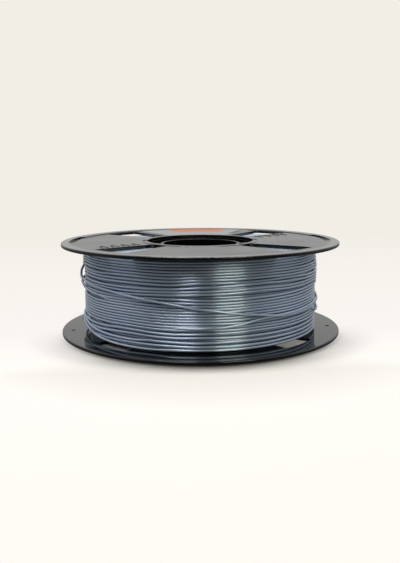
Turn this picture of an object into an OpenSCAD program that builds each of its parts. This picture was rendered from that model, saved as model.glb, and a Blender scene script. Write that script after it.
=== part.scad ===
// Spool of 3D-printing filament. Two like flanges snap onto the ends of a drum,
// and the drum is wound full of round filament. A blank label lies on the upper flange.
// The axis of the spool is Z, and it stands on its lower flange at z = 0.

/* [Spool] */
// Outside diameter of both flanges
flange_d = 200; // [190:1:215]
// Width over the two flanges
spool_w = 65; // [50:1:80]

/* [Flange] */
// Thickness of the flange at its rim
rim_t = 2.4; // [2.2:0.1:3.4]
// Width of the raised band round the rim
rim_band_w = 9.3; // [8.5:0.1:10.5]
// Radius on the two edges of the rim
rim_round = 0.7; // [0.3:0.1:1]
// Depth of the panel below the raised band, on the outer face
panel_recess = 0.5; // [0.2:0.1:0.9]
// Depth of the narrow ring round the hub hole below the raised band
hub_ring_recess = 0.2; // [0.1:0.05:0.4]
// Width of the sloping step between two levels of the outer face
step_w = 0.3; // [0.1:0.1:0.6]

/* [Windows] */
// Number of windows in each flange
window_count = 4; // [3:1:5]
// Angle between the two straight sides of a window
window_angle = 20; // [12:1:26]
// Solid strip between the drum's wall and a window
window_inner_strip = 1; // [0.6:0.1:2]
// Solid strip between a window and the raised band
window_outer_strip = 2.7; // [1:0.1:8]
// Radius in the corners of a window
window_corner_r = 2.5; // [1:0.1:4]

/* [Thread holes and grooves] */
// Diameter of the holes that hold the loose end of the filament
thread_hole_d = 3; // [2.4:0.1:3.6]
// Distance from the rim's edge to the centres of these holes
thread_hole_inset = 7.7; // [7:0.1:8]
// Angle of the first hole of the right-hand pair
thread_angle_a = -8; // [-12:0.5:-6]
// Angle of the second hole of the right-hand pair
thread_angle_b = 16.5; // [12:0.5:20]
// Width of the groove between the two holes of a pair
groove_w = 4.4; // [3.8:0.1:4.8]
// Depth of that groove in the outer face
groove_depth = 1.4; // [0.8:0.1:1.6]

/* [Drum] */
// Outside diameter of the drum that the filament is wound on
drum_d = 82; // [78:1:92]
// Thickness of the drum's wall
drum_wall = 2.5; // [2.4:0.1:3.2]
// Diameter of the bore that a spindle goes through
bore_d = 54; // [48:0.5:58]
// Thickness of the bore tube's wall
bore_wall = 1.8; // [1.2:0.1:2.6]
// Number of ribs between the bore tube and the drum's wall
rib_count = 4; // [3:1:8]
// Thickness of a rib
rib_t = 1.6; // [1:0.1:2.4]

/* [Snap lugs] */
// Number of snap lugs on each end of the drum
lug_count = 2; // [2:2:4]
// Angle that a notch for a lug takes up in the hub hole
notch_angle = 10; // [7:0.5:14]
// Depth of a notch from the hub hole outwards
notch_depth = 3.2; // [2.8:0.1:3.3]
// Thickness of the ledge in a notch that a lug hooks over
ledge_t = 1; // [0.8:0.1:1.2]
// Reach of the ledge into its notch
ledge_w = 0.8; // [0.5:0.1:1]
// Height of the hook above the ledge
hook_t = 0.7; // [0.4:0.1:0.8]
// Play between a lug and the notch round it
lug_play = 0.2; // [0.1:0.05:0.3]

/* [Filament] */
// Diameter of the filament
filament_d = 1.75; // [1.5:0.05:1.9]
// Outside diameter of the winding
wound_d = 166; // [150:1:170]
// Room between the winding and each flange, and between the winding and the drum
wound_room = 0.3; // [0.2:0.05:0.6]
// Room between the outer layer of turns and the layers under it
layer_room = 0.3; // [0.2:0.05:0.6]
// Turns of the outer layer that lie side by side
side_turns = 22; // [16:1:22]
// Turns in which the filament crosses back over the outer layer
crossing_turns = 2; // [1:1:2]
// Height of a crossing turn above the layer that it crosses
crossing_step = 2.3; // [2.3:0.1:2.8]
// Radius of the two sharp bends near the ends of the outer layer
end_bend_r = 2; // [1.6:0.1:2.4]

/* [Label] */
// Angle that the label takes up between two windows
label_angle = 62; // [40:1:66]
// Bare strip round the label, at its inner and its outer edge
label_margin = 1.2; // [0.8:0.1:3]
// Thickness of the label
label_t = 0.12; // [0.1:0.01:0.2]
// Radius on the corners of the label
label_corner_r = 2; // [1:0.5:4]

/* [Hidden] */
$fn = 96;

// Overlap that lets a cutter pass right through what it cuts
cut = 1;

// Radii, from the axis outwards
bore_r = bore_d / 2;
bore_tube_r = bore_r + bore_wall;
drum_r = drum_d / 2;
hub_hole_r = drum_r - drum_wall;
window_in_r = drum_r + window_inner_strip;
flange_r = flange_d / 2;
band_r = flange_r - rim_band_w;
window_out_r = band_r - window_outer_strip;
thread_r = flange_r - thread_hole_inset;

// Flats in each rounded edge of the rim, and in the corners and edges of the cut-outs
rim_round_steps = 5;
corner_steps = 6;
edge_steps = 12;

// Levels of the flange's outer face above its inner face
panel_t = rim_t - panel_recess;
hub_ring_t = rim_t - hub_ring_recess;

// Heights of the flanges' inner faces, which the drum's ends stand on
lower_face_z = rim_t;
upper_face_z = spool_w - rim_t;
drum_len = upper_face_z - lower_face_z;

// A lug is as thick as the gap that the ledge leaves in its notch
notch_r = hub_hole_r + notch_depth;
ledge_r = notch_r - ledge_w;
lug_stem_r = ledge_r - lug_play;
lug_play_angle = lug_play / notch_r * 180 / PI;
lug_angle = notch_angle - 2 * lug_play_angle;
hook_base_z = ledge_t + lug_play;
lug_top_z = hook_base_z + hook_t;
hook_r = notch_r - lug_play;

// Angle between the middles of the window and of the panel beside it
window_step = 360 / window_count;
first_window = 180 / window_count;

// The outer layer of filament: one tube of 24 rings a turn and 6 sides
rings_per_turn = 24;
tube_sides = 6;
tube_r = filament_d / 2;
side_r = wound_d / 2 - tube_r;
crossing_r = side_r + crossing_step;
turn_low_z = lower_face_z + wound_room + tube_r;
turn_high_z = upper_face_z - filament_d - end_bend_r;
turn_top_z = upper_face_z - wound_room - tube_r;
turn_pitch = (turn_high_z - turn_low_z) / side_turns;
// The layers underneath end clear of the flats between the rings of the tube
inner_layers_r = side_r * cos(180 / rings_per_turn) - tube_r - layer_room;

// The winding runs clockwise seen from above, and its steepest crossing is at this angle
crossing_angle = 255;
// Share of a turn in which the filament climbs onto the layer that it then crosses
climb_turns = 0.25;
// Number of turns from the first whole turn to the place where the crossings begin and end
crossing_start = side_turns;
crossing_end = crossing_start + crossing_turns;
turns_to_middle = crossing_start + crossing_turns / 2;
// The tube starts at about this turn, where a solid panel of the flange is above it
first_turn = 0.7;
// It leaves the winding along a straight line to the hole at thread_angle_b. The line touches
// the smaller of two circles, that of the crossing turns and that of the holes.
leave_angle = thread_angle_b + acos(min(crossing_r, thread_r) / max(crossing_r, thread_r));
tube_leave_turn = crossing_end
    + (crossing_angle + 360 * (turns_to_middle + 1 - crossing_end) - leave_angle) % 360 / 360;
// Whole steps between rings keep the rings of all the turns above each other
turn_rings = floor((tube_leave_turn - first_turn) * rings_per_turn);
turn_count = turn_rings / rings_per_turn;
tube_start_turn = tube_leave_turn - turn_count;
leave_rings = 6;
bend_rings = 4;
end_bend_z = upper_face_z - end_bend_r;

function polar(r, angle, z) = [r * cos(angle), r * sin(angle), z];
function ease(u) = let (v = min(1, max(0, u))) v * v * (3 - 2 * v);
function turn_angle(t) = crossing_angle + 360 * (turns_to_middle - t);
function turn_radius(t) = side_r + crossing_step * ease((t - crossing_start) / climb_turns);
// Share of the way from the bottom turn to the top turn, slow at both ends
function crossing_share(u) = u - sin(360 * u) / (2 * PI);
function turn_z(t) =
    t <= crossing_start ? turn_high_z - turn_pitch * t
    : t >= crossing_end ? turn_top_z
    : turn_low_z + (turn_top_z - turn_low_z)
        * crossing_share((t - crossing_start) / crossing_turns);
function turn_point(t) = polar(turn_radius(t), turn_angle(t), turn_z(t));

// Direction in which the winding runs at an angle
function along(angle) = [sin(angle), -cos(angle), 0];

turn_points = [for (i = [0 : turn_rings]) turn_point(tube_start_turn + i / rings_per_turn)];

// The first end comes straight down from the flange and bends into the first turn
start_angle = turn_angle(tube_start_turn);
start_z = turn_z(tube_start_turn);
start_corner = polar(side_r, start_angle, start_z) - along(start_angle) * end_bend_r;
start_points = concat(
    [start_corner + [0, 0, upper_face_z - start_z]],
    [for (i = [0 : bend_rings - 1])
        let (a = 90 * i / bend_rings)
        start_corner + along(start_angle) * end_bend_r * (1 - cos(a))
            + [0, 0, end_bend_r * (1 - sin(a))]]);

// The last end runs straight to its hole and bends up through it
leave_point = turn_points[turn_rings];
hole_point = polar(thread_r, thread_angle_b, end_bend_z);
run = hole_point - leave_point;
run_way = run / norm(run);
bend_start = hole_point - run_way * end_bend_r;
end_points = concat(
    [for (i = [1 : leave_rings]) leave_point + (bend_start - leave_point) * i / leave_rings],
    [for (i = [1 : bend_rings])
        let (a = 90 * i / bend_rings)
        bend_start + run_way * end_bend_r * sin(a) + [0, 0, end_bend_r * (1 - cos(a))]],
    [hole_point + [0, 0, end_bend_r + filament_d]]);

tube_points = concat(start_points, turn_points, end_points);

// Least gap between two turns of the tube, measured at points along it
gap_steps = 3;
gap_points = [for (i = [0 : turn_rings - 1], s = [0 : gap_steps - 1])
    turn_points[i] + (turn_points[i + 1] - turn_points[i]) * s / gap_steps];
gap_samples = rings_per_turn * gap_steps;
least_gap = min([for (i = [0 : len(gap_points) - 1], turn = [1 : ceil(turn_count)], k = [-2 : 2])
    let (j = i + turn * gap_samples + k)
    if (j < len(gap_points)) norm(gap_points[i] - gap_points[j])]) - filament_d;
echo(least_gap_between_turns_mm = least_gap, turns = turn_count, pitch_mm = turn_pitch);

// Points of an arc from angle a to angle b, without the last, where the next arc begins
function arc(centre, r, a, b, steps) = [for (i = [0 : steps - 1])
    let (at = a + (b - a) * i / steps) centre + r * [cos(at), sin(at)]];

// Flat outline of a ring sector about +X with round corners. Its arcs run anticlockwise:
// the outer edge, the two corners on the far side, the inner edge and the two near corners.
module sector(r_in, r_out, half_angle, corner) {
    in_c = r_in + corner;
    out_c = r_out - corner;
    in_half = half_angle - asin(corner / in_c);
    out_half = half_angle - asin(corner / out_c);
    polygon(concat(
        arc([0, 0], r_out, -out_half, out_half, edge_steps),
        arc(out_c * [cos(out_half), sin(out_half)], corner, out_half, half_angle + 90, corner_steps),
        arc(in_c * [cos(in_half), sin(in_half)], corner, half_angle + 90, in_half + 180,
            corner_steps),
        arc([0, 0], r_in, in_half, -in_half, edge_steps),
        arc(in_c * [cos(in_half), -sin(in_half)], corner, 180 - in_half, 270 - half_angle,
            corner_steps),
        arc(out_c * [cos(out_half), -sin(out_half)], corner, -90 - half_angle, -out_half,
            corner_steps)));
}

// Half section of the flange, with its inner face on y = 0 and both edges of the rim rounded
module flange_section() {
    edge_r = flange_r - rim_round;
    function edge(level, from) = [for (i = [0 : rim_round_steps])
        let (a = from + 90 * i / rim_round_steps)
        [edge_r + rim_round * cos(a), level + rim_round * sin(a)]];
    polygon(concat([[hub_hole_r, 0]],
                   edge(rim_round, -90),
                   edge(rim_t - rim_round, 0),
                   [[band_r, rim_t], [band_r - step_w, panel_t],
                    [window_in_r + step_w, panel_t], [window_in_r, hub_ring_t],
                    [hub_hole_r, hub_ring_t]]));
}

// One notch in the hub hole: wide at the top, and narrow below the ledge
module notch() {
    inside = hub_hole_r - cut;
    rotate(-notch_angle / 2) rotate_extrude(angle = notch_angle)
        polygon([[inside, -cut], [ledge_r, -cut], [ledge_r, ledge_t], [notch_r, ledge_t],
                 [notch_r, rim_t + cut], [inside, rim_t + cut]]);
}

// Groove in the outer face between the two thread holes, and the holes themselves
module thread_groove() {
    half_w = groove_w / 2;
    a = thread_angle_a;
    b = thread_angle_b;
    translate([0, 0, rim_t - groove_depth]) linear_extrude(groove_depth + cut)
        polygon(concat(
            arc([0, 0], thread_r + half_w, a, b, edge_steps),
            arc(thread_r * [cos(b), sin(b)], half_w, b, b + 180, corner_steps),
            arc([0, 0], thread_r - half_w, b, a, edge_steps),
            arc(thread_r * [cos(a), sin(a)], half_w, a - 180, a, corner_steps)));
    for (angle = [thread_angle_a, thread_angle_b])
        rotate(angle) translate([thread_r, 0, -cut]) cylinder(d = thread_hole_d, h = rim_t + 2 * cut);
}

// Flange with its inner face on z = 0 and its outer face upwards
module flange() {
    difference() {
        rotate_extrude() flange_section();
        for (i = [0 : window_count - 1])
            rotate(first_window + window_step * i) translate([0, 0, -cut])
                linear_extrude(rim_t + 2 * cut)
                    sector(window_in_r, window_out_r, window_angle / 2, window_corner_r);
        for (i = [0 : lug_count - 1]) rotate(360 / lug_count * i) notch();
        thread_groove();
        mirror([1, 0, 0]) thread_groove();
    }
}

module lower_flange() {
    color("#16171a") translate([0, 0, lower_face_z]) rotate([0, 180, 0]) flange();
}

module upper_flange() {
    color("#16171a") translate([0, 0, upper_face_z]) flange();
}

// Snap lug on z = 0: a stem as wide as its notch, with a hook that reaches over the ledge
module lug() {
    root_r = hub_hole_r + lug_play;
    rotate(-lug_angle / 2) rotate_extrude(angle = lug_angle)
        polygon([[root_r, -cut], [lug_stem_r, -cut], [lug_stem_r, hook_base_z],
                 [hook_r, hook_base_z], [lug_stem_r, lug_top_z], [root_r, lug_top_z]]);
}

module drum() {
    color("#16171a") {
        translate([0, 0, lower_face_z]) {
            difference() {
                cylinder(r = drum_r, h = drum_len);
                translate([0, 0, -cut]) cylinder(r = hub_hole_r, h = drum_len + 2 * cut);
            }
            difference() {
                cylinder(r = bore_tube_r, h = drum_len);
                translate([0, 0, -cut]) cylinder(r = bore_r, h = drum_len + 2 * cut);
            }
            for (i = [0 : rib_count - 1]) rotate(360 / rib_count * i)
                translate([bore_r + bore_wall / 2, -rib_t / 2, 0])
                    cube([hub_hole_r + drum_wall / 2 - bore_r - bore_wall / 2, rib_t, drum_len]);
        }
        for (i = [0 : lug_count - 1]) rotate(360 / lug_count * i) {
            translate([0, 0, upper_face_z]) lug();
            translate([0, 0, lower_face_z]) rotate([180, 0, 0]) lug();
        }
    }
}

// The layers under the outer one, as one solid ring
module filament_inner_layers() {
    color("#7d8fa6") translate([0, 0, lower_face_z + wound_room]) difference() {
        cylinder(r = inner_layers_r, h = drum_len - 2 * wound_room);
        translate([0, 0, -cut]) cylinder(r = drum_r + wound_room, h = drum_len);
        translate([0, 0, cut]) cylinder(r = drum_r + wound_room, h = drum_len);
    }
}

// Ring of points round point i of the tube, in the plane square to the tube there
function tube_ring(i) =
    let (p = tube_points[i],
         last = len(tube_points) - 1,
         way = tube_points[min(last, i + 1)] - tube_points[max(0, i - 1)],
         t = way / norm(way),
         out = [p[0], p[1], 0] / norm([p[0], p[1]]),
         n_raw = out - t * (out * t),
         n = n_raw / norm(n_raw),
         b = cross(t, n))
    [for (k = [0 : tube_sides - 1])
        let (a = 360 * k / tube_sides) p + tube_r * (n * cos(a) + b * sin(a))];

// The outer layer of turns with its crossings, as one unbroken tube
module filament_outer_turns() {
    rings = len(tube_points);
    function at(i, k) = i * tube_sides + k % tube_sides;
    sides = [for (i = [0 : rings - 2], k = [0 : tube_sides - 1], half = [0, 1])
        half == 0 ? [at(i, k), at(i, k + 1), at(i + 1, k + 1)]
                  : [at(i, k), at(i + 1, k + 1), at(i + 1, k)]];
    ends = [for (k = [1 : tube_sides - 2], end = [0, 1])
        end == 0 ? [at(0, 0), at(0, k + 1), at(0, k)]
                 : [at(rings - 1, 0), at(rings - 1, k), at(rings - 1, k + 1)]];
    color("#8c9db5")
        polyhedron([for (i = [0 : rings - 1], p = tube_ring(i)) p], concat(sides, ends));
}

// Blank label stuck on the panel of the upper flange, opposite the first window
module label() {
    color("#d9dbdc") rotate(90) translate([0, 0, upper_face_z + panel_t])
        linear_extrude(label_t)
            sector(window_in_r + step_w + label_margin, band_r - step_w - label_margin,
                   label_angle / 2, label_corner_r);
}

lower_flange();
upper_flange();
drum();
filament_inner_layers();
filament_outer_turns();
label();
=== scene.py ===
import math
import random

import bmesh
import bpy
from mathutils import Matrix, Vector


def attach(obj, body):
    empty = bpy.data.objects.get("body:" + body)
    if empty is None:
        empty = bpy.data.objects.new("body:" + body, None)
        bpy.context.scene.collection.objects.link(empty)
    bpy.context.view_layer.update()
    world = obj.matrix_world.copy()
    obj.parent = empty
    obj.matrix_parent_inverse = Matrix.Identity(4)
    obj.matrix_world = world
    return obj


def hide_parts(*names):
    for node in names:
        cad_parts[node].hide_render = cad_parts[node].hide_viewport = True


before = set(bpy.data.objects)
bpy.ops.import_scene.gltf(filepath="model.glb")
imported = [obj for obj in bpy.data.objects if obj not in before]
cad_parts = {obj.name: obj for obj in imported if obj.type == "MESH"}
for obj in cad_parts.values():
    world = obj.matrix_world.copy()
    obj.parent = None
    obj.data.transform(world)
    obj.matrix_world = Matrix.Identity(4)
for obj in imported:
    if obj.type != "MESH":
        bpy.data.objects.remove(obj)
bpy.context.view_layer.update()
MM = 0.001

# ---- Drum -----------------------------------------------------------------------------
# The tube that the filament is wound on, with the bore, four ribs and the snap lugs that
# hold the flanges. Injection-moulded black polystyrene from a polished mould.


def linear(code):
    """Linear colour of an sRGB hex code."""
    parts = [int(code[i:i + 2], 16) / 255 for i in (1, 3, 5)]
    return [c / 12.92 if c <= 0.04045 else ((c + 0.055) / 1.055) ** 2.4 for c in parts] + [1.0]


def add_node(tree, kind, inputs=None, **settings):
    """Adds a node with its settings. An input is a plain value or another node's socket."""
    node = tree.nodes.new(kind)
    for name, value in settings.items():
        setattr(node, name, value)
    for name, value in (inputs or {}).items():
        if isinstance(value, bpy.types.NodeSocket):
            tree.links.new(value, node.inputs[name])
        else:
            node.inputs[name].default_value = value
    return node


def new_tree(name):
    """Node tree of a new material."""
    material = bpy.data.materials.new(name)
    material.use_nodes = True
    material.node_tree.nodes.clear()
    return material, material.node_tree


# Radii in mm between which a flange's sunk panel gives way to the raised band at its rim
BAND_EDGE = (93.5, 94.5)


def polystyrene(name, face_low, face_top):
    """Black polystyrene. The mould was polished for the faces on the inside of the spool and
    blasted for the two outer faces, beyond the heights given in mm. Scuffs lighten the edges,
    partly as a painted edge highlight, and the top of the rim band is painted lighter as a painted
    sheen."""
    material, tree = new_tree(name)
    place = add_node(tree, "ShaderNodeTexCoord").outputs["Object"]
    apart = add_node(tree, "ShaderNodeSeparateXYZ", {"Vector": place})
    height = apart.outputs["Z"]
    flat = add_node(tree, "ShaderNodeCombineXYZ", {"X": apart.outputs["X"], "Y": apart.outputs["Y"]})
    radius = add_node(tree, "ShaderNodeVectorMath", {0: flat.outputs[0]}, operation="LENGTH")
    # the band is rubbed smoother than the panels
    panel = add_node(tree, "ShaderNodeMapRange",
                     {"Value": radius.outputs["Value"], "From Min": BAND_EDGE[0] * MM,
                      "From Max": BAND_EDGE[1] * MM, "To Min": 1.0, "To Max": 0.55})
    above = add_node(tree, "ShaderNodeMath", {0: height, 1: face_top * MM}, operation="GREATER_THAN")
    below = add_node(tree, "ShaderNodeMath", {0: height, 1: face_low * MM}, operation="LESS_THAN")
    outside = add_node(tree, "ShaderNodeMath", {0: above.outputs[0], 1: below.outputs[0]},
                       operation="ADD")
    blasted = add_node(tree, "ShaderNodeMath", {0: outside.outputs[0], 1: panel.outputs[0]},
                       operation="MULTIPLY")
    waves = add_node(tree, "ShaderNodeTexNoise", {"Vector": place, "Scale": 1 / 0.035, "Detail": 3.0})
    # a blasted grain is usually about 0.1 mm, and is drawn at 0.6 mm so that it shows
    grain = add_node(tree, "ShaderNodeTexNoise", {"Vector": place, "Scale": 1 / (0.6 * MM),
                                                  "Detail": 2.0})
    scuffs = add_node(tree, "ShaderNodeTexNoise",
                      {"Vector": place, "Scale": 1 / 0.004, "Detail": 5.0, "Distortion": 1.0})
    scuffed = add_node(tree, "ShaderNodeMapRange",
                       {"Value": scuffs.outputs["Fac"], "From Min": 0.58, "From Max": 0.66})
    # the edges are scuffed here and there, and the scuffs are painted light enough to add a painted
    # highlight along the edges
    edge = add_node(tree, "ShaderNodeBevel", {"Radius": 0.45 * MM}, samples=6)
    normal = add_node(tree, "ShaderNodeNewGeometry").outputs["Normal"]
    facing = add_node(tree, "ShaderNodeVectorMath", {0: edge.outputs[0], 1: normal},
                      operation="DOT_PRODUCT")
    edge_wear_and_glint = add_node(tree, "ShaderNodeMapRange",
                    {"Value": facing.outputs["Value"], "From Min": 0.92, "From Max": 0.75})
    mark = add_node(tree, "ShaderNodeMath", {0: edge_wear_and_glint.outputs[0], 1: scuffed.outputs[0]},
                    operation="MULTIPLY")
    # painted sheen: the top of the raised band on the outer faces is painted lighter than the panels
    ring = add_node(tree, "ShaderNodeMapRange",
                    {"Value": radius.outputs["Value"], "From Min": BAND_EDGE[0] * MM,
                     "From Max": BAND_EDGE[1] * MM, "To Max": outside.outputs[0]})
    upright = add_node(tree, "ShaderNodeSeparateXYZ", {"Vector": edge.outputs[0]})
    flat_on = add_node(tree, "ShaderNodeMapRange",
                       {"Value": upright.outputs["Z"], "From Min": 0.6, "From Max": 0.95,
                        "To Max": ring.outputs[0]})
    band_sheen = add_node(tree, "ShaderNodeMix",
                      {"Factor": flat_on.outputs[0], "A": linear("#060708"), "B": linear("#3a3b3c")},
                      data_type="RGBA")
    tone = add_node(tree, "ShaderNodeMix",
                    {"Factor": mark.outputs[0], "A": band_sheen.outputs["Result"],
                     "B": linear("#4c4d4e")}, data_type="RGBA")
    polish = add_node(tree, "ShaderNodeMapRange",
                      {"Value": waves.outputs["Fac"], "From Min": 0.35, "From Max": 0.65,
                       "To Min": 0.06, "To Max": 0.1})
    gloss = add_node(tree, "ShaderNodeMath", {0: blasted.outputs[0], 1: 0.13, 2: polish.outputs[0]},
                     operation="MULTIPLY_ADD")
    relief = add_node(tree, "ShaderNodeMath", {0: blasted.outputs[0], 1: grain.outputs["Fac"]},
                      operation="MULTIPLY")
    bump = add_node(tree, "ShaderNodeBump", {"Height": relief.outputs[0], "Strength": 0.3,
                                             "Distance": 0.04 * MM, "Normal": edge.outputs[0]})
    shader = add_node(tree, "ShaderNodeBsdfPrincipled",
                      {"Base Color": tone.outputs["Result"], "Roughness": gloss.outputs[0],
                       "Normal": bump.outputs[0], "IOR": 1.5})
    add_node(tree, "ShaderNodeOutputMaterial", {"Surface": shader.outputs[0]})
    return material


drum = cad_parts["drum"]
for slot in drum.material_slots:
    slot.material = polystyrene("moulded_polystyrene_drum", 2.5, 62.5)

# ---- Flanges --------------------------------------------------------------------------
# Two like discs with windows, thread holes and grooves, snapped onto the drum's ends.
# Injection-moulded black polystyrene like the drum, with a raised band at the rim whose top is
# painted lighter than the panels, a painted sheen.
flange_plastic = polystyrene("moulded_polystyrene_flange", 1.7, 63.3)
for name in ("lower_flange", "upper_flange"):
    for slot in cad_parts[name].material_slots:
        slot.material = flange_plastic

# ---- Fill gauge -----------------------------------------------------------------------
# Raised marks beside two windows of the upper flange, where the eye reads how much
# filament is left. Moulded with the flange, 0.25 mm proud of its panel.
PANEL_Z = 64.5
GAUGE_HEIGHT, GAUGE_BEVEL = 0.25, 0.1
MARKS, FIRST_MARK_R, MARK_STEP = 8, 50.2, 4.2
LONG_MARK, SHORT_MARK, MARK_WIDTH, DOT = 7.0, 4.0, 0.7, 1.6
# A window's straight side, and the other one half way round, in degrees
WINDOW_SIDES = (215, 395)
MARK_AWAY, DOT_AWAY = 3.0, 2.4


def raised_bars(name, bars, height, material):
    """One mesh of raised bars on the panel. A bar is (centre x, y, length, width, angle)."""
    mesh = bmesh.new()
    for x, y, length, width, angle in bars:
        stretch = Matrix.Diagonal((length, width, height, 1.0))
        spot = Matrix.Translation((x, y, PANEL_Z + height / 2)) @ Matrix.Rotation(angle, 4, "Z")
        bmesh.ops.create_cube(mesh, size=1.0, matrix=spot @ stretch)
    bottom = PANEL_Z + 1e-4
    edges = [e for e in mesh.edges if min(v.co.z for v in e.verts) > bottom]
    bmesh.ops.bevel(mesh, geom=edges, offset=GAUGE_BEVEL, segments=2, affect="EDGES",
                     profile=0.5)
    bmesh.ops.scale(mesh, vec=(MM, MM, MM), verts=mesh.verts)
    data = bpy.data.meshes.new(name)
    mesh.to_mesh(data)
    mesh.free()
    piece = bpy.data.objects.new(name, data)
    bpy.context.collection.objects.link(piece)
    data.materials.append(material)
    return piece


gauge_bars = []
for angle in WINDOW_SIDES:
    side = math.radians(angle)
    for mark in range(MARKS):
        # the marks stand clear of the window's straight side and at right angles to it
        r = FIRST_MARK_R + MARK_STEP * mark
        long_one = mark % 2 == 0
        length = LONG_MARK if long_one else SHORT_MARK
        away = MARK_AWAY + length / 2
        x = r * math.cos(side) + away * math.sin(side)
        y = r * math.sin(side) - away * math.cos(side)
        gauge_bars.append((x, y, length, MARK_WIDTH, side + math.pi / 2))
        if long_one:
            x += (length / 2 + DOT_AWAY) * math.sin(side)
            y -= (length / 2 + DOT_AWAY) * math.cos(side)
            gauge_bars.append((x, y, DOT, DOT, side))
gauge = raised_bars("fill_gauge", gauge_bars, GAUGE_HEIGHT, flange_plastic)
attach(gauge, "root")

# ---- Wound filament under the outer layer ----------------------------------------------
# The layers that fill the drum: the last of them as a helix, and their edges as rings of
# strand on both faces, where the windows show them. Drawn polylactide, 1.75 mm thick.
STRAND_D = 1.75
UNDER_R = 79.5
UNDER_LOW, UNDER_TOP = 3.6, 61.4
UNDER_TURNS = 32
START_ANGLE = 90.0
under_pitch = (UNDER_TOP - UNDER_LOW) / UNDER_TURNS


def silk_polylactide(name):
    """Blue-grey silk polylactide. Pearl pigment gives drawn filament a metallic sheen that
    runs round the strand, and the die leaves fine lines and slow changes of tone along it."""
    material, tree = new_tree(name)
    place = add_node(tree, "ShaderNodeTexCoord").outputs["Object"]
    apart = add_node(tree, "ShaderNodeSeparateXYZ", {"Vector": place})
    turn = add_node(tree, "ShaderNodeMath", {0: apart.outputs["Y"], 1: apart.outputs["X"]},
                    operation="ARCTAN2")
    along = add_node(tree, "ShaderNodeCombineXYZ",
                     {"X": turn.outputs[0], "Y": 0.0, "Z": apart.outputs["Z"]})
    # each strand, 1.8 mm from the next, gets its own slow change of tone
    strands = add_node(tree, "ShaderNodeMapping",
                       {"Vector": along.outputs[0], "Scale": (1.6, 1.0, 1 / (1.8 * MM))})
    tones = add_node(tree, "ShaderNodeTexNoise", {"Vector": strands.outputs[0], "Scale": 0.9,
                                                  "Detail": 2.0})
    lines = add_node(tree, "ShaderNodeMapping",
                     {"Vector": along.outputs[0], "Scale": (0.7, 1.0, 1 / (0.16 * MM))})
    die = add_node(tree, "ShaderNodeTexNoise", {"Vector": lines.outputs[0], "Scale": 1.0,
                                                "Detail": 3.0})
    shade = add_node(tree, "ShaderNodeMapRange", {"Value": tones.outputs["Fac"], "From Min": 0.3,
                                                  "From Max": 0.7})
    tone = add_node(tree, "ShaderNodeMix",
                    {"Factor": shade.outputs[0], "A": linear("#a9bad2"), "B": linear("#bdcce1")},
                    data_type="RGBA")
    # painted shade: the grooves between strands, where little light reaches, are painted darker, so
    # that each strand stands apart
    groove = add_node(tree, "ShaderNodeAmbientOcclusion", {"Distance": 1.6 * MM}, samples=8)
    raised = add_node(tree, "ShaderNodeMapRange",
                      {"Value": groove.outputs["AO"], "From Min": 0.1, "From Max": 0.7})
    groove_shade = add_node(tree, "ShaderNodeMix",
                       {"Factor": raised.outputs[0], "A": linear("#333a44"),
                        "B": tone.outputs["Result"]}, data_type="RGBA")
    gloss = add_node(tree, "ShaderNodeMapRange",
                     {"Value": die.outputs["Fac"], "From Min": 0.3, "From Max": 0.7,
                      "To Min": 0.34, "To Max": 0.37})
    bump = add_node(tree, "ShaderNodeBump", {"Height": die.outputs["Fac"], "Strength": 0.015,
                                             "Distance": 0.03 * MM})
    round_spool = add_node(tree, "ShaderNodeTangent", direction_type="RADIAL", axis="Z")
    shader = add_node(tree, "ShaderNodeBsdfPrincipled",
                      {"Base Color": groove_shade.outputs["Result"], "Roughness": gloss.outputs[0],
                       "Normal": bump.outputs[0], "Tangent": round_spool.outputs[0],
                       "Metallic": 0.8, "IOR": 1.46, "Anisotropic": 0.97,
                       "Anisotropic Rotation": 0.25})
    add_node(tree, "ShaderNodeOutputMaterial", {"Surface": shader.outputs[0]})
    return material


def polar(r, angle, z):
    """Point at a radius, an angle in degrees and a height, in mm."""
    return Vector((r * math.cos(math.radians(angle)), r * math.sin(math.radians(angle)), z))


def sweep(verts, faces, points, sides):
    """Adds a strand along the points to the lists: a ring round each one, and its ends."""
    first = len(verts)
    count = len(points)
    for i, p in enumerate(points):
        way = (points[min(i + 1, count - 1)] - points[max(i - 1, 0)]).normalized()
        out = Vector((p.x, p.y, 0)).normalized()
        out = (out - way * out.dot(way)).normalized()
        side = way.cross(out)
        for k in range(sides):
            a = 2 * math.pi * k / sides
            verts.append(p + STRAND_D / 2 * (math.cos(a) * out + math.sin(a) * side))
    for i in range(count - 1):
        here, there = first + i * sides, first + (i + 1) * sides
        for k in range(sides):
            m = (k + 1) % sides
            faces.append((here + k, here + m, there + m, there + k))
    faces.append(tuple(range(first + sides - 1, first - 1, -1)))
    faces.append(tuple(range(first + (count - 1) * sides, first + count * sides)))


def strand_piece(name, verts, faces, material):
    """Object made of the strands in the lists, in metres."""
    data = bpy.data.meshes.new(name)
    data.from_pydata([v * MM for v in verts], [], faces)
    data.shade_smooth()
    data.materials.append(material)
    piece = bpy.data.objects.new(name, data)
    bpy.context.collection.objects.link(piece)
    return piece


def under_z(turns):
    """Height of the helix of the last full layer, which ends at the top."""
    return UNDER_LOW + under_pitch * turns


silk = silk_polylactide("drawn_silk_polylactide")
# Points on each turn, and sides of the strand, which show less on the layers underneath
STATIONS, SIDES = 96, 8
UNDER_STATIONS, UNDER_SIDES = 72, 6
verts, faces = [], []
sweep(verts, faces,
      [polar(UNDER_R, START_ANGLE - 360 * i / UNDER_STATIONS, under_z(i / UNDER_STATIONS))
       for i in range(UNDER_TURNS * UNDER_STATIONS + 1)], UNDER_SIDES)

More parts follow.
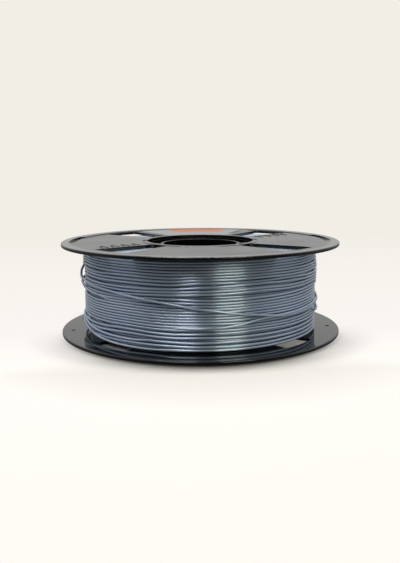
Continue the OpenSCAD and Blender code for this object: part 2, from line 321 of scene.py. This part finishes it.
# the edges of the layers: each turn of this flat spiral is the edge of one layer, and every
# second one lies a quarter of a strand deeper. The change of level takes a tenth of a turn,
# under the solid panel at 0.
EDGE_FIRST_R, EDGE_STEP, EDGE_TURNS = 43.1, 1.52, 24
EDGE_TOP, EDGE_LOW, EDGE_DROP = 61.6, 3.4, 0.45
LEVEL_CHANGE = 0.1
for level, drop in ((EDGE_TOP, -EDGE_DROP), (EDGE_LOW, EDGE_DROP)):
    points = []
    for i in range(EDGE_TURNS * UNDER_STATIONS + 1):
        turns = i / UNDER_STATIONS
        nearest = round(turns)
        share = min(1, max(0, 0.5 + (turns - nearest) / LEVEL_CHANGE))
        share = share * share * (3 - 2 * share)
        if nearest % 2:
            share = 1 - share
        points.append(polar(EDGE_FIRST_R + EDGE_STEP * turns, -360 * turns, level + drop * share))
    sweep(verts, faces, points, UNDER_SIDES)

# the strands deeper down, which only show as the dark between the outer ones
CORE_IN_R, CORE_OUT_R, CORE_LOW, CORE_TOP = 41.6, 78.9, 4.9, 60.1
core = [(CORE_IN_R, CORE_LOW), (CORE_OUT_R, CORE_LOW), (CORE_OUT_R, CORE_TOP), (CORE_IN_R, CORE_TOP)]
first = len(verts)
for i in range(STATIONS):
    verts += [polar(r, 360 * i / STATIONS, z) for r, z in core]
for i in range(STATIONS):
    here, there = first + 4 * i, first + (i + 1) % STATIONS * 4
    faces += [(here + k, there + k, there + (k + 1) % 4, here + (k + 1) % 4) for k in range(4)]
under_layers = strand_piece("wound_layers", verts, faces, silk)
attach(under_layers, "root")
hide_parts("filament_inner_layers")

# ---- Outer layer and crossings ----------------------------------------------------------
# The turns that show: one strand wound down over the last full layer, then back up across
# it in one and a half loose turns, with its end pushed through a hole in the upper flange.
LANES = 28
LANE_TOP, LANE_LOW = 61.0, 4.4
# Lowest that a turn may be pushed, clear of the lower flange
LANE_FLOOR = 3.65
# Room in mm, beyond the usual pitch, under some turns (counted from the top) at some angles
LOOSE = {
    30: {3: 0.5, 7: 0.8, 12: 0.9, 16: 0.5, 20: 0.8, 24: 1.0, 26: 0.5},
    90: {2: 0.7, 7: 0.9, 13: 1.1, 17: 0.7, 21: 1.0, 25: 0.9},
    150: {4: 0.9, 9: 0.8, 13: 0.6, 18: 0.7, 22: 1.2, 25: 1.0},
    208: {5: 1.5, 7: 0.2, 8: 1.3, 10: 0.3, 11: 0.4, 12: 0.2, 22: 1.7, 23: 0.9, 24: 0.5, 25: 0.4,
          26: 0.9},
    232: {6: 0.8, 7: 0.2, 8: 1.4, 9: 0.4, 10: 0.4, 22: 0.5, 23: 0.8, 24: 0.9, 25: 1.3, 26: 1.2},
    254: {3: 0.3, 5: 0.3, 6: 0.3, 7: 0.3, 8: 0.7, 11: 0.7, 12: 0.4, 13: 0.4, 14: 0.2, 22: 1.2,
          23: 0.2, 24: 0.9, 25: 0.7, 26: 0.6},
    267: {8: 1.2, 9: 0.5, 11: 2.1, 22: 1.1, 23: 0.4, 24: 1.6, 25: 0.7, 26: 0.2},
    280: {7: 0.3, 8: 0.1, 9: 1.1, 11: 2.3, 16: 0.2, 20: 0.3, 21: 0.2, 23: 1.0, 24: 0.8, 25: 1.2,
          26: 0.2},
    294: {8: 0.3, 9: 1.0, 11: 2.8, 18: 0.3, 19: 0.6, 23: 1.7, 24: 0.8, 25: 1.3},
    312: {8: 0.5, 9: 1.0, 11: 1.5, 20: 0.6, 23: 1.2, 24: 0.9, 25: 0.3, 26: 0.6},
    335: {4: 0.9, 7: 1.2, 11: 0.5, 13: 0.4, 19: 0.9, 22: 0.4, 23: 0.8, 24: 0.9, 25: 0.5, 26: 0.6},
}


def lane_heights(loose):
    """Heights of all the turns at one angle."""
    pitch = (LANE_TOP - LANE_LOW - sum(loose.values())) / (LANES - 1)
    heights = [LANE_TOP]
    for lane in range(LANES - 1):
        heights.append(heights[-1] - pitch - loose.get(lane, 0))
    return heights


at_angle = sorted((angle, lane_heights(loose)) for angle, loose in LOOSE.items())
at_angle.append((at_angle[0][0] + 360, at_angle[0][1]))


def lane_z(lane, angle):
    """Height of a turn at an angle, blended between the angles of LOOSE."""
    lane = min(LANES - 1, max(0, lane))
    angle = (angle - at_angle[0][0]) % 360 + at_angle[0][0]
    for (a, low), (b, high) in zip(at_angle, at_angle[1:]):
        if angle <= b:
            share = 0.5 - 0.5 * math.cos(math.pi * (angle - a) / (b - a))
            return low[lane] * (1 - share) + high[lane] * share


rng = random.Random(11)
WANDER = [(f, rng.uniform(0, 2 * math.pi), size)
          for f, size in ((1.27, 0.04), (2.71, 0.05), (4.43, 0.03))]
heights = []
for lane in range(LANES):
    row = []
    for i in range(STATIONS):
        part = i / STATIONS
        angle = START_ANGLE - 360 * part
        z = lane_z(lane, angle)
        # the turn runs from half way to the one above it to half way to the one below
        z += (0.5 - part) * (lane_z(lane - 1, angle) - z if part < 0.5
                             else z - lane_z(lane + 1, angle))
        z += sum(size * math.sin(2 * math.pi * f * (lane + part) + phase)
                 for f, phase, size in WANDER)
        row.append(z)
    heights.append(row)
# neighbours that wander into each other are pushed apart
CLOSEST = STRAND_D + 0.01
PUSHES, EASINGS = 40, 2
for _ in range(PUSHES):
    for i in range(STATIONS):
        for lane in range(LANES - 1):
            push = (CLOSEST - heights[lane][i] + heights[lane + 1][i]) / 2
            if push > 0:
                heights[lane][i] += push
                heights[lane + 1][i] -= push
        heights[0][i] = min(heights[0][i], LANE_TOP)
        heights[-1][i] = max(heights[-1][i], LANE_FLOOR)
# the strand is stiff, so the kinks that the pushes leave are eased out of it
line = [z for row in heights for z in row]
for _ in range(EASINGS):
    eased = [(a + 2 * b + c) / 4 for a, b, c in zip(line, line[1:], line[2:])]
    line = [line[0]] + eased + [line[-1]]
heights = [line[n:n + STATIONS] for n in range(0, len(line), STATIONS)]


OUTER_R = 82.15
NEST = 0.07
SLACK, SLACK_ANGLE = 0.6, 188


def bedded_r(angle, z):
    """Radius of an outer turn: it nests a little between the turns of the layer under it,
    and is slack on one side."""
    under = under_z((START_ANGLE - angle) % 360 / 360)
    nest = NEST * math.cos(2 * math.pi * (z - under) / under_pitch)
    slack = SLACK * max(0, math.cos(math.radians(angle - SLACK_ANGLE)))
    return OUTER_R + nest + slack


STEP = 360 / STATIONS
# Points between stops stand closer by this factor than those on a turn
FINER = 1.5


def slope(a, b, k):
    """Change of a stop's value k with each degree. Against the angle, uneven stops stay smooth."""
    return (b[k] - a[k]) / (b[0] - a[0])


def thread(stops):
    """Points along a smooth line through stops of (angle, height, radius)."""
    line = []
    for i in range(len(stops) - 1):
        p0, p1, p2 = stops[max(0, i - 1)], stops[i], stops[i + 1]
        p3 = stops[min(len(stops) - 1, i + 2)]
        steps = max(1, round(abs(p2[0] - p1[0]) / STEP * FINER))
        for s in range(steps):
            u = s / steps
            span = p2[0] - p1[0]
            point = [p1[0] + span * u]
            for k in (1, 2):
                m1 = slope(p0, p2, k) if i else slope(p1, p2, k)
                m2 = slope(p1, p3, k) if i < len(stops) - 2 else slope(p1, p2, k)
                point.append((2 * u**3 - 3 * u**2 + 1) * p1[k] + (u**3 - 2 * u**2 + u) * span * m1
                             + (3 * u**2 - 2 * u**3) * p2[k] + (u**3 - u**2) * span * m2)
            line.append(tuple(point))
    return line


# Turns that ride up a little: (turn, angle, half width in degrees, rise in mm)
HUMPS = [(3, 188, 10, 1.1), (4, 188, 11, 1.3), (5, 188, 12, 1.5),
         (3, 347, 14, 0.6), (4, 347, 14, 0.9), (5, 347, 14, 1.1), (6, 346, 14, 1.2),
         (7, 346, 14, 1.3), (8, 346, 14, 1.4), (9, 346, 14, 1.2), (10, 347, 14, 1.1),
         (11, 345, 14, 1.2), (12, 345, 14, 0.9), (22, 345, 12, 1.0),
         (3, 60, 12, 0.9), (9, 110, 14, 1.1), (17, 70, 12, 0.9), (16, 130, 10, 0.8)]

# Places where a turn leaves its bed: (angle, height, radius) on the way
DETOURS = {
    14: [(214, 33.4, 83.0), (208, 34.0, 83.7), (202, 34.6, 84.1), (197, 35.3, 84.5),
         (193, 36.6, 85.1), (190, 38.1, 85.5), (187, 39.3, 85.0), (184, 39.9, 84.2),
         (180, 40.0, 83.6), (172, 39.8, 83.9), (150, 39.4, 84.1), (125, 37.5, 84.0),
         (108, 34.0, 83.4)],
    25: [(236, 8.9, 82.6), (219, 9.2, 83.2), (206, 10.4, 83.7), (199, 11.9, 83.8),
         (193, 13.2, 83.6), (187, 14.4, 83.7), (180, 14.9, 83.8), (172, 14.6, 84.0),
         (160, 13.3, 84.0), (145, 11.0, 83.8), (130, 9.6, 83.2)],
    8: [(303, 46.5, 82.0), (298, 46.2, 81.2), (288, 46.2, 81.2), (283, 46.4, 82.0)],
    20: [(355, 19.6, 82.9), (351, 18.8, 83.6), (347.5, 17.4, 84.1), (344, 17.2, 83.6),
         (339, 18.6, 82.9)],
}
# Angle at which the turns end, and the stretches over which the first one steps up and a
# detour blends in, in degrees
LAST_ANGLE, STEP_UP, BLEND = 250, 20, 4
route = []
last_turn = LANES - 1 + (START_ANGLE - LAST_ANGLE) % 360 / 360
for n in range(round(last_turn * STATIONS)):
    lane, i = divmod(n, STATIONS)
    angle = START_ANGLE - 360 * n / STATIONS
    z = heights[lane][i]
    # the strand steps up from the end of the layer below
    rise = min(1, n / (STEP_UP * STATIONS / 360))
    r = UNDER_R + (bedded_r(angle, z) - UNDER_R) * rise
    for turn, at, half, lift in HUMPS:
        off = abs(n - STATIONS * (turn + (START_ANGLE - at) % 360 / 360)) * 360 / STATIONS
        if off < half:
            r += lift * (0.5 + 0.5 * math.cos(math.pi * off / half))
    z = UNDER_TOP + (z - UNDER_TOP) * rise
    route.append((angle, z, r))
for lane, stops in DETOURS.items():
    turn_start = START_ANGLE - 360 * lane
    turned = [(turn_start - (START_ANGLE - a) % 360, z, r) for a, z, r in stops]
    before = [s for s in route if s[0] > turned[0][0] + BLEND]
    after = [s for s in route if s[0] < turned[-1][0] - BLEND]
    route = before[:-1] + thread([before[-1]] + turned + [after[0]]) + after

# Across the outer layer: up at the left, round the back, and across the front to a slack
# loop at the left, then round the back again to the top, as stops like those above. The
# angle counts down past 0 as the strand goes round.
CROSSING = [(245, 3.9, 82.2), (232, 4.1, 82.6), (222, 4.6, 83.1), (212, 5.8, 83.6),
            (203, 7.8, 83.9), (196, 9.4, 84.0), (190, 10.6, 84.1), (186, 11.3, 84.2),
            (181, 11.9, 84.3), (172, 12.4, 84.5), (160, 13.8, 85.8), (148, 15.9, 85.4),
            (136, 17.6, 84.4), (122, 19.0, 83.9), (90, 20.8, 83.9),
            (50, 23.5, 83.9), (15, 26.3, 83.9), (-8, 26.2, 83.7), (-12.5, 24.8, 84.1),
            (-17, 23.8, 83.8), (-28, 23.2, 83.9), (-42, 22.5, 84.1), (-53, 22.6, 84.2),
            (-61, 23.9, 84.2), (-67, 25.2, 84.2), (-76, 27.0, 84.3), (-87, 29.5, 84.6),
            (-93, 30.6, 84.8), (-102, 32.8, 84.9), (-110, 34.5, 84.9), (-120, 36.0, 84.9),
            (-130, 37.6, 84.8), (-144, 38.9, 84.6), (-155, 39.6, 84.4), (-162, 39.9, 84.6),
            (-167, 40.3, 85.3), (-170, 41.2, 85.9), (-172, 42.8, 86.1), (-174.5, 45.2, 85.8),
            (-177, 46.7, 85.0), (-181, 47.8, 84.5), (-190, 49.2, 84.4), (-200, 50.4, 84.3),
            (-215, 52.4, 84.1), (-240, 55.0, 83.9), (-270, 59.0, 83.9), (-297, 61.3, 84.0),
            (-319.7, 61.4, 84.4)]
crossing = [(a - 360 * LANES, z, r) for a, z, r in CROSSING]
route += thread([route[-1]] + crossing)
points = [polar(r, a, z) for a, z, r in route]

# the end runs straight to its hole and bends up through it
HOLE_R, HOLE_ANGLE, HOLE_Z = 92.3, 16.5, 62.6
BEND_R, IN_HOLE = 2.0, 0.6
STRAIGHT_STEPS, BEND_STEPS = 8, 6
hole = polar(HOLE_R, HOLE_ANGLE, HOLE_Z - BEND_R)
way = (hole - points[-1]).normalized()
bend = hole - way * BEND_R
points += [points[-1].lerp(bend, i / STRAIGHT_STEPS) for i in range(1, STRAIGHT_STEPS + 1)]
for i in range(1, BEND_STEPS + 1):
    a = math.pi / 2 * i / BEND_STEPS
    points.append(bend + way * BEND_R * math.sin(a) + Vector((0, 0, BEND_R * (1 - math.cos(a)))))
points.append(hole + Vector((0, 0, BEND_R + IN_HOLE)))
verts, faces = [], []
sweep(verts, faces, points, SIDES)

# part of a turn that rides up at the right and slips in between its neighbours. It is a
# length of its own, with both ends hidden under other turns.
SLIP = [(352, 25.6, 81.6), (346, 25.2, 82.6), (340, 24.8, 83.7), (332, 24.6, 84.0),
        (312, 23.7, 84.4), (302, 23.3, 84.2), (294, 22.4, 83.8), (285, 20.3, 83.9),
        (276, 18.9, 83.8), (267, 18.4, 83.5), (257, 18.3, 82.6), (247, 18.3, 81.6)]
sweep(verts, faces, [polar(r, a, z) for a, z, r in thread(SLIP)], SIDES)
outer_turns = strand_piece("outer_turns", verts, faces, silk)
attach(outer_turns, "root")
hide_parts("filament_outer_turns")

# ---- Label ----------------------------------------------------------------------------
# Grey paper sticker on the panel opposite the front, 0.12 mm thick. Printed with a plain
# orange band, a small corner of the same colour and a row of plain dark squares. Matt, so
# that the print shows at a low angle.

# Radii of the print in mm, and its two sides in radians from the label's middle
PRINT_OUT_R = 87.5
BAND_R, BAND_SIDES = 68.0, (-0.26, 0.29)
CORNER_R, CORNER_SIDES = 78.0, (0.515, 0.55)
ROW_R, ROW_OUT_R, ROW_SIDES = 58.0, 85.5, (0.45, 0.52)
SQUARES_PITCH, SQUARES_GAP = 7.0, 2.6
material, tree = new_tree("coated_paper_label")
place = add_node(tree, "ShaderNodeTexCoord").outputs["Object"]
apart = add_node(tree, "ShaderNodeSeparateXYZ", {"Vector": place})
flat = add_node(tree, "ShaderNodeCombineXYZ", {"X": apart.outputs["X"], "Y": apart.outputs["Y"]})
radius = add_node(tree, "ShaderNodeVectorMath", {0: flat.outputs[0]}, operation="LENGTH")
turn = add_node(tree, "ShaderNodeMath", {0: apart.outputs["X"], 1: apart.outputs["Y"]},
                operation="ARCTAN2")


def between(value, low, high):
    """Socket that is 1 where a value lies between two limits."""
    above = add_node(tree, "ShaderNodeMath", {0: value, 1: low}, operation="GREATER_THAN")
    below = add_node(tree, "ShaderNodeMath", {0: value, 1: high}, operation="LESS_THAN")
    return add_node(tree, "ShaderNodeMath", {0: above.outputs[0], 1: below.outputs[0]},
                    operation="MULTIPLY").outputs[0]


def both(a, b):
    """Socket that is 1 where both values are."""
    return add_node(tree, "ShaderNodeMath", {0: a, 1: b}, operation="MULTIPLY").outputs[0]


fibres = add_node(tree, "ShaderNodeTexNoise", {"Vector": place, "Scale": 1 / (0.4 * MM),
                                               "Detail": 3.0})
paper = add_node(tree, "ShaderNodeMix",
                 {"Factor": fibres.outputs["Fac"], "A": linear("#868889"), "B": linear("#919394")},
                 data_type="RGBA")
band = both(between(radius.outputs["Value"], BAND_R * MM, PRINT_OUT_R * MM),
            between(turn.outputs[0], *BAND_SIDES))
corner = both(between(radius.outputs["Value"], CORNER_R * MM, PRINT_OUT_R * MM),
              between(turn.outputs[0], *CORNER_SIDES))
colour = add_node(tree, "ShaderNodeMath", {0: band, 1: corner}, operation="MAXIMUM")
inked = add_node(tree, "ShaderNodeMix", {"Factor": colour.outputs[0], "A": paper.outputs["Result"],
                                         "B": linear("#b06f58")}, data_type="RGBA")
repeat = add_node(tree, "ShaderNodeMath",
                  {0: radius.outputs["Value"], 1: SQUARES_PITCH / 2 * MM}, operation="PINGPONG")
row = both(between(radius.outputs["Value"], ROW_R * MM, ROW_OUT_R * MM),
           between(turn.outputs[0], *ROW_SIDES))
squares = both(between(repeat.outputs[0], SQUARES_GAP / 2 * MM, SQUARES_PITCH * MM), row)
printed = add_node(tree, "ShaderNodeMix", {"Factor": squares, "A": inked.outputs["Result"],
                                           "B": linear("#2a2a2d")}, data_type="RGBA")
bump = add_node(tree, "ShaderNodeBump", {"Height": fibres.outputs["Fac"], "Strength": 0.1,
                                         "Distance": 0.03 * MM})
shader = add_node(tree, "ShaderNodeBsdfPrincipled",
                  {"Base Color": printed.outputs["Result"], "Roughness": 0.6,
                   "Specular IOR Level": 0.02, "Normal": bump.outputs[0]})
add_node(tree, "ShaderNodeOutputMaterial", {"Surface": shader.outputs[0]})
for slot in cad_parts["label"].material_slots:
    slot.material = material

# ---- Floor and room ---------------------------------------------------------------------
# A pale table that runs back into a plain backdrop. The room is pale all round, apart from
# the dark side where the camera stands, and four soft lamps light the spool.
BACKDROP = linear("#f1eee6")
# Radii in m of the table, just inside the spool's rim and just outside its windows
FLOOR_R, RIM_R, WINDOWS_R = 6.0, 0.099, 0.095
mesh = bmesh.new()
bmesh.ops.create_circle(mesh, cap_ends=True, segments=64, radius=FLOOR_R)
data = bpy.data.meshes.new("floor")
mesh.to_mesh(data)
mesh.free()
floor = bpy.data.objects.new("floor", data)
bpy.context.collection.objects.link(floor)
floor.location.z = -0.05 * MM
material, tree = new_tree("pale_table")
place = add_node(tree, "ShaderNodeTexCoord").outputs["Object"]
apart = add_node(tree, "ShaderNodeSeparateXYZ", {"Vector": place})
back = apart.outputs["Y"]
reach = add_node(tree, "ShaderNodeVectorMath", {0: place}, operation="LENGTH")

# how far the lit table gives way to an even glow, which needs no lamp: from the front to the
# back, but hardly under the spool, where it is seen through the windows. Under the spool's right
# half a little of the glow is painted light, which brightens the floor seen through the right
# windows.
clear = add_node(tree, "ShaderNodeMath", {0: reach.outputs["Value"], 1: RIM_R},
                 operation="GREATER_THAN")
through = add_node(tree, "ShaderNodeMapRange",
                   {"Value": apart.outputs["X"], "From Min": 0.0, "From Max": 0.05, "To Max": 0.3})
open_floor = add_node(tree, "ShaderNodeMath", {0: clear.outputs[0], 1: through.outputs[0]},
                      operation="MAXIMUM")
fade = add_node(tree, "ShaderNodeMapRange", {"Value": back, "From Min": -0.11, "From Max": 0.01,
                                             "To Max": open_floor.outputs[0]},
                interpolation_type="SMOOTHSTEP")
distant = add_node(tree, "ShaderNodeMapRange",
                   {"Value": reach.outputs["Value"], "From Min": 0.5, "From Max": 0.95},
                   interpolation_type="SMOOTHSTEP")
away = add_node(tree, "ShaderNodeMath", {0: fade.outputs[0], 1: distant.outputs[0]},
                operation="MAXIMUM")

# what the spool gets from the table is darker than what the camera sees of it
seen = add_node(tree, "ShaderNodeLightPath").outputs["Is Camera Ray"]
near = add_node(tree, "ShaderNodeMapRange",
                {"Value": back, "From Min": -0.3, "From Max": -0.03}, interpolation_type="SMOOTHSTEP")
room_side = add_node(tree, "ShaderNodeMix", {"Factor": near.outputs[0], "A": linear("#1d1d1e"),
                                             "B": linear("#8a8988")}, data_type="RGBA")

# painted shadow: the table is painted a little darker around the front of the spool
towards = add_node(tree, "ShaderNodeMapRange",
                   {"Value": reach.outputs["Value"], "From Min": 0.175, "From Max": 0.115})
beside = add_node(tree, "ShaderNodeMapRange",
                  {"Value": back, "From Min": -0.11, "From Max": -0.08})
before = add_node(tree, "ShaderNodeMath", {0: towards.outputs[0], 1: beside.outputs[0]},
                  operation="SUBTRACT", use_clamp=True)
table = add_node(tree, "ShaderNodeMix", {"Factor": before.outputs[0], "A": linear("#dbd9d8"),
                                         "B": linear("#cac8c5")}, data_type="RGBA")

# and a painted shadow, darkest in the crease under the rim, in front and behind, but not through the
# windows
crease = add_node(tree, "ShaderNodeAmbientOcclusion", {"Distance": 14 * MM}, samples=8)
deepened = add_node(tree, "ShaderNodeMath", {0: crease.outputs["AO"], 1: 8.0},
                    operation="POWER")
under = add_node(tree, "ShaderNodeMath", {0: reach.outputs["Value"], 1: WINDOWS_R},
                 operation="LESS_THAN")
outside = add_node(tree, "ShaderNodeMath", {0: deepened.outputs[0], 1: under.outputs[0]},
                   operation="MAXIMUM")
side = add_node(tree, "ShaderNodeMapRange", {"Value": back, "From Min": -0.03, "From Max": 0.03})
open_crease = add_node(tree, "ShaderNodeMath", {0: outside.outputs[0], 1: side.outputs[0]},
                       operation="MAXIMUM")
rear = add_node(tree, "ShaderNodeMapRange", {"Value": back, "From Min": 0.07, "From Max": 0.04})
rear_crease = add_node(tree, "ShaderNodeMath", {0: outside.outputs[0], 1: rear.outputs[0]},
                       operation="MAXIMUM")
shaded = add_node(tree, "ShaderNodeMix", {"Factor": open_crease.outputs[0],
                                          "A": linear("#101010"), "B": table.outputs["Result"]},
                  data_type="RGBA")
pale = add_node(tree, "ShaderNodeMix", {"Factor": seen, "A": room_side.outputs["Result"],
                                        "B": shaded.outputs["Result"]}, data_type="RGBA")
lit = add_node(tree, "ShaderNodeBsdfDiffuse", {"Color": pale.outputs["Result"]})
depth = add_node(tree, "ShaderNodeMapRange", {"Value": back, "From Min": -0.1, "From Max": 0.7})
paler = add_node(tree, "ShaderNodeMix", {"Factor": depth.outputs[0], "A": linear("#fbf6f2"),
                                         "B": BACKDROP}, data_type="RGBA")
creased = add_node(tree, "ShaderNodeMix", {"Factor": rear_crease.outputs[0],
                                           "A": linear("#3a3a3a"), "B": paler.outputs["Result"]},
                   data_type="RGBA")
far_tone = add_node(tree, "ShaderNodeMix", {"Factor": seen, "A": linear("#807f7d"),
                                            "B": creased.outputs["Result"]}, data_type="RGBA")
far = add_node(tree, "ShaderNodeEmission", {"Color": far_tone.outputs["Result"]})
surface = add_node(tree, "ShaderNodeMixShader", {0: away.outputs[0], 1: lit.outputs[0],
                                                 2: far.outputs[0]})
add_node(tree, "ShaderNodeOutputMaterial", {"Surface": surface.outputs[0]})
data.materials.append(material)

# The room is brighter in reflections than it lights the spool
world = bpy.data.worlds.new("studio")
world.use_nodes = True
tree = world.node_tree
tree.nodes.clear()
way = add_node(tree, "ShaderNodeTexCoord").outputs["Generated"]
apart = add_node(tree, "ShaderNodeSeparateXYZ", {"Vector": way})
# dark towards the camera's side, pale towards the back and the top
front = add_node(tree, "ShaderNodeMapRange",
                 {"Value": apart.outputs["Y"], "From Min": -0.95, "From Max": 0.0,
                  "To Min": 0.15, "To Max": 0.75}, interpolation_type="SMOOTHSTEP")
right = add_node(tree, "ShaderNodeMapRange",
                 {"Value": apart.outputs["X"], "From Min": -0.8, "From Max": 0.7,
                  "To Min": 0.01, "To Max": 0.1}, interpolation_type="SMOOTHSTEP")
ceiling = add_node(tree, "ShaderNodeMapRange",
                   {"Value": apart.outputs["Z"], "From Min": 0.35, "From Max": 0.9,
                    "To Min": 1.0, "To Max": 2.0}, interpolation_type="SMOOTHSTEP")
bright = add_node(tree, "ShaderNodeMath", {0: front.outputs[0], 1: ceiling.outputs[0]},
                  operation="MULTIPLY")
rays = add_node(tree, "ShaderNodeLightPath")
room = add_node(tree, "ShaderNodeBackground", {"Color": linear("#f6f5f4"),
                                               "Strength": bright.outputs[0]})
dimmed = add_node(tree, "ShaderNodeMath", {0: front.outputs[0], 1: right.outputs[0]},
                  operation="MULTIPLY")
plain = add_node(tree, "ShaderNodeBackground", {"Color": linear("#f6f5f4"),
                                                "Strength": dimmed.outputs[0]})
shown = add_node(tree, "ShaderNodeBackground", {"Color": BACKDROP, "Strength": 1.0})
lighting = add_node(tree, "ShaderNodeMixShader", {0: rays.outputs["Is Glossy Ray"],
                                                  1: plain.outputs[0], 2: room.outputs[0]})
surface = add_node(tree, "ShaderNodeMixShader", {0: rays.outputs["Is Camera Ray"],
                                                 1: lighting.outputs[0], 2: shown.outputs[0]})
add_node(tree, "ShaderNodeOutputWorld", {"Surface": surface.outputs[0]})
bpy.context.scene.world = world

LAMPS_AIM_Z = 0.04


def softbox(name, azimuth, distance, height, width, tall, power, tint):
    """Rectangular lamp that faces the spool. Its azimuth is in degrees, its lengths in m."""
    lamp = bpy.data.lights.new(name, "AREA")
    lamp.shape = "RECTANGLE"
    lamp.size, lamp.size_y = width, tall
    lamp.energy = power
    lamp.color = linear(tint)[:3]
    lamp_object = bpy.data.objects.new(name, lamp)
    bpy.context.collection.objects.link(lamp_object)
    spot = Vector((distance * math.cos(math.radians(azimuth)),
                   distance * math.sin(math.radians(azimuth)), height))
    lamp_object.location = spot
    aim = Vector((0, 0, LAMPS_AIM_Z)) - spot
    lamp_object.rotation_euler = aim.to_track_quat("-Z", "Y").to_euler()


softbox("softbox_left", azimuth=226, distance=0.8, height=1.42, width=0.5, tall=0.26,
        power=4.0, tint="#fffdf2")
softbox("softbox_middle", azimuth=254.6, distance=1.4, height=1.0, width=0.4, tall=0.3,
        power=3.9, tint="#fff8f4")
softbox("softbox_right", azimuth=295.6, distance=1.4, height=0.5, width=0.64, tall=0.5,
        power=5.2, tint="#fbfbdc")
softbox("softbox_overhead", azimuth=90, distance=0.15, height=1.5, width=1.0, tall=0.3,
        power=27.5, tint="#fffefc")

# ---- Camera ---------------------------------------------------------------------------
# Low in front of the spool and a little to its left, turned towards it and tilted down. Its
# place is in m, and its angles are in degrees.
CAMERA_PLACE = (-0.02607, -0.49743, 0.1170)
CAMERA_TURN, CAMERA_TILT, CAMERA_ROLL = -3, 85.703, -0.3
camera_data = bpy.data.cameras.new("camera")
camera_data.lens = 43.74
camera_data.sensor_width = 36.0
camera_data.shift_y = -0.1098
camera_data.clip_start = 0.01
camera = bpy.data.objects.new("camera", camera_data)
bpy.context.collection.objects.link(camera)
camera.matrix_world = (Matrix.Translation(CAMERA_PLACE)
                       @ Matrix.Rotation(math.radians(CAMERA_TURN), 4, "Z")
                       @ Matrix.Rotation(math.radians(CAMERA_TILT), 4, "X")
                       @ Matrix.Rotation(math.radians(CAMERA_ROLL), 4, "Z"))
scene = bpy.context.scene
scene.camera = camera
scene.view_settings.view_transform = "Standard"
